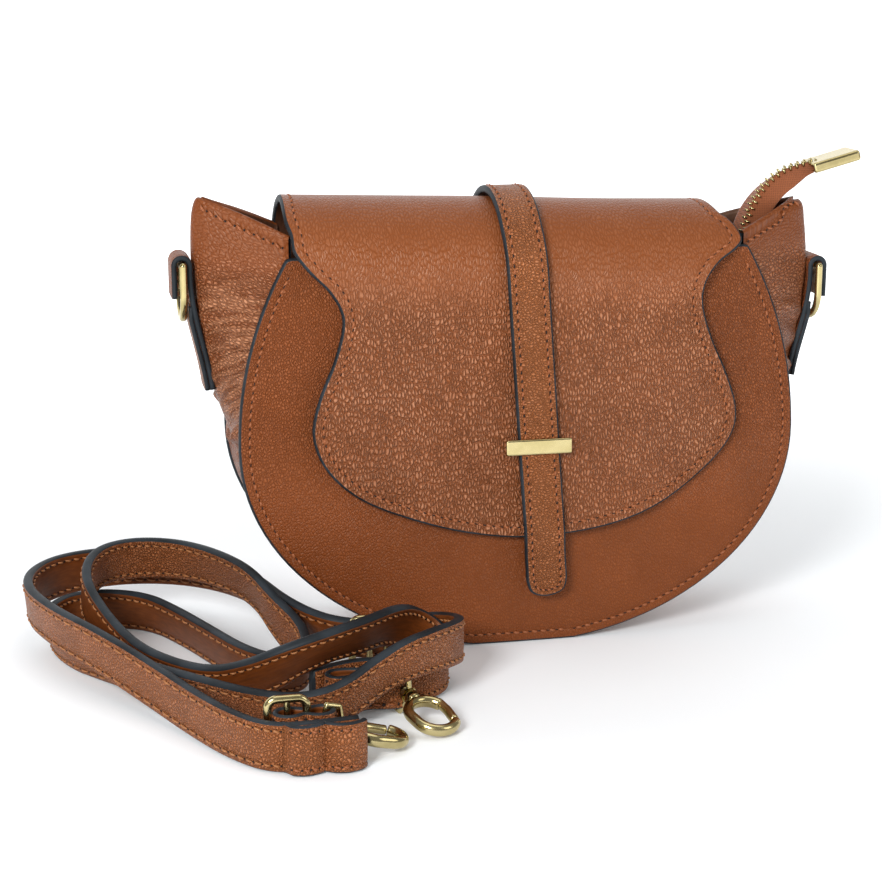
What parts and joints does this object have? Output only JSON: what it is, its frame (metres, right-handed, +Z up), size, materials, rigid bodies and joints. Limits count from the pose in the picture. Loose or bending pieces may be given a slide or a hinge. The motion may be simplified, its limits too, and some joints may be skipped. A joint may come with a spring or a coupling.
{
  "type": "sling bag",
  "caption": "Flap-over leather sling bag with a narrow closure strap, top zip, side D rings and a detached flat shoulder strap with swivel snap hooks.",
  "frame": {"origin": "middle of the bag's flat base, on the surface it stands on", "axes": "+Z up, -Y out of the front with the flap, +X to the right of someone looking at the front"},
  "size_m": [0.349, 0.1913, 0.1955],
  "materials": {
    "saddle_leather": "pebbled, semi-gloss",
    "strap_leather": "pebbled face, smooth back",
    "lining_cloth": "woven, matte",
    "zip_tape": "woven, matte",
    "gold_metal": "polished pale gold plate",
    "plate_steel": "satin"
  },
  "bodies": {
    "bag": {"front_panel": "saddle_leather", "back_panel": "saddle_leather", "front_lining": "lining_cloth", "back_lining": "lining_cloth", "slip_pocket": "lining_cloth", "gusset": "saddle_leather", "gusset_lining": "lining_cloth", "flap_hem": "saddle_leather", "snap_socket": "gold_metal", "zip_facing_front": "saddle_leather", "zip_facing_back": "saddle_leather", "zip_tape_front": "zip_tape", "zip_tape_back": "zip_tape", "zip_teeth_front": "gold_metal", "zip_teeth_back": "gold_metal", "zip_tail": "zip_tape", "zip_end_cap": "gold_metal", "tab_left": "saddle_leather", "tab_right": "saddle_leather"},
    "flap": {"flap": "saddle_leather", "flap_lining": "lining_cloth", "closure_strap": "saddle_leather", "closure_bar": "gold_metal", "bar_back_plate": "plate_steel", "snap_stud": "gold_metal"},
    "zip_slider": {"zip_slider": "gold_metal"},
    "zip_pull": {"zip_pull": "gold_metal"},
    "d_ring_left": {"d_ring_left": "gold_metal"},
    "d_ring_right": {"d_ring_right": "gold_metal"},
    "shoulder_strap": {"shoulder_strap": "strap_leather", "strap_loop_a": "strap_leather", "strap_loop_b": "strap_leather", "slide_buckle_a": "gold_metal", "slide_buckle_b": "gold_metal", "hook_a_eye": "gold_metal", "hook_b_eye": "gold_metal"},
    "hook_a": {"hook_a_body": "gold_metal"},
    "hook_a_gate": {"hook_a_gate": "gold_metal"},
    "hook_b": {"hook_b_body": "gold_metal"},
    "hook_b_gate": {"hook_b_gate": "gold_metal"}
  },
  "joints": [
    {"name": "flap_hinge", "type": "hinge", "parent": "bag", "child": "flap", "pos_m": [0, 0.0287, 0.1504], "axis": [-1, 0, 0], "range_deg": [0, 150]},
    {"name": "zip_slide", "type": "slide", "parent": "bag", "child": "zip_slider", "axis": [1, 0, 0], "range_m": [0, 0.14]},
    {"name": "pull_tilt", "type": "hinge", "parent": "zip_slider", "child": "zip_pull", "pos_m": [-0.074, 0, 0.1483], "axis": [0, -1, 0], "range_deg": [0, 120]},
    {"name": "ring_left_swing", "type": "hinge", "parent": "bag", "child": "d_ring_left", "pos_m": [-0.1331, 0, 0.1565], "axis": [0, 1, 0], "range_deg": [0, 120]},
    {"name": "ring_right_swing", "type": "hinge", "parent": "bag", "child": "d_ring_right", "pos_m": [0.1312, 0, 0.148], "axis": [0, -1, 0], "range_deg": [0, 120]},
    {"name": "strap_slide", "type": "slide", "parent": "bag", "child": "shoulder_strap", "axis": [-0.8, -0.6, 0], "range_m": [0, 0.15]},
    {"name": "hook_a_swivel", "type": "hinge", "parent": "shoulder_strap", "child": "hook_a", "pos_m": [-0.09306, -0.13527, 0.00938], "axis": [0.9372, 0.2337, -0.2588], "continuous": true},
    {"name": "hook_a_gate_turn", "type": "hinge", "parent": "hook_a", "child": "hook_a_gate", "pos_m": [-0.08587, -0.1258, 0.0069], "axis": [-0.2511, -0.0626, -0.9659], "range_deg": [0, 22], "stiffness_Nm_per_rad": 0.004, "springref_deg": -5.73},
    {"name": "hook_b_swivel", "type": "hinge", "parent": "shoulder_strap", "child": "hook_b", "pos_m": [-0.06287, -0.10492, 0.00938], "axis": [0.4234, -0.8682, -0.2588], "continuous": true},
    {"name": "hook_b_gate_turn", "type": "hinge", "parent": "hook_b", "child": "hook_b_gate", "pos_m": [-0.05211, -0.10999, 0.0069], "axis": [-0.1135, 0.2326, -0.9659], "range_deg": [0, 22], "stiffness_Nm_per_rad": 0.004, "springref_deg": -5.73}
  ]
}
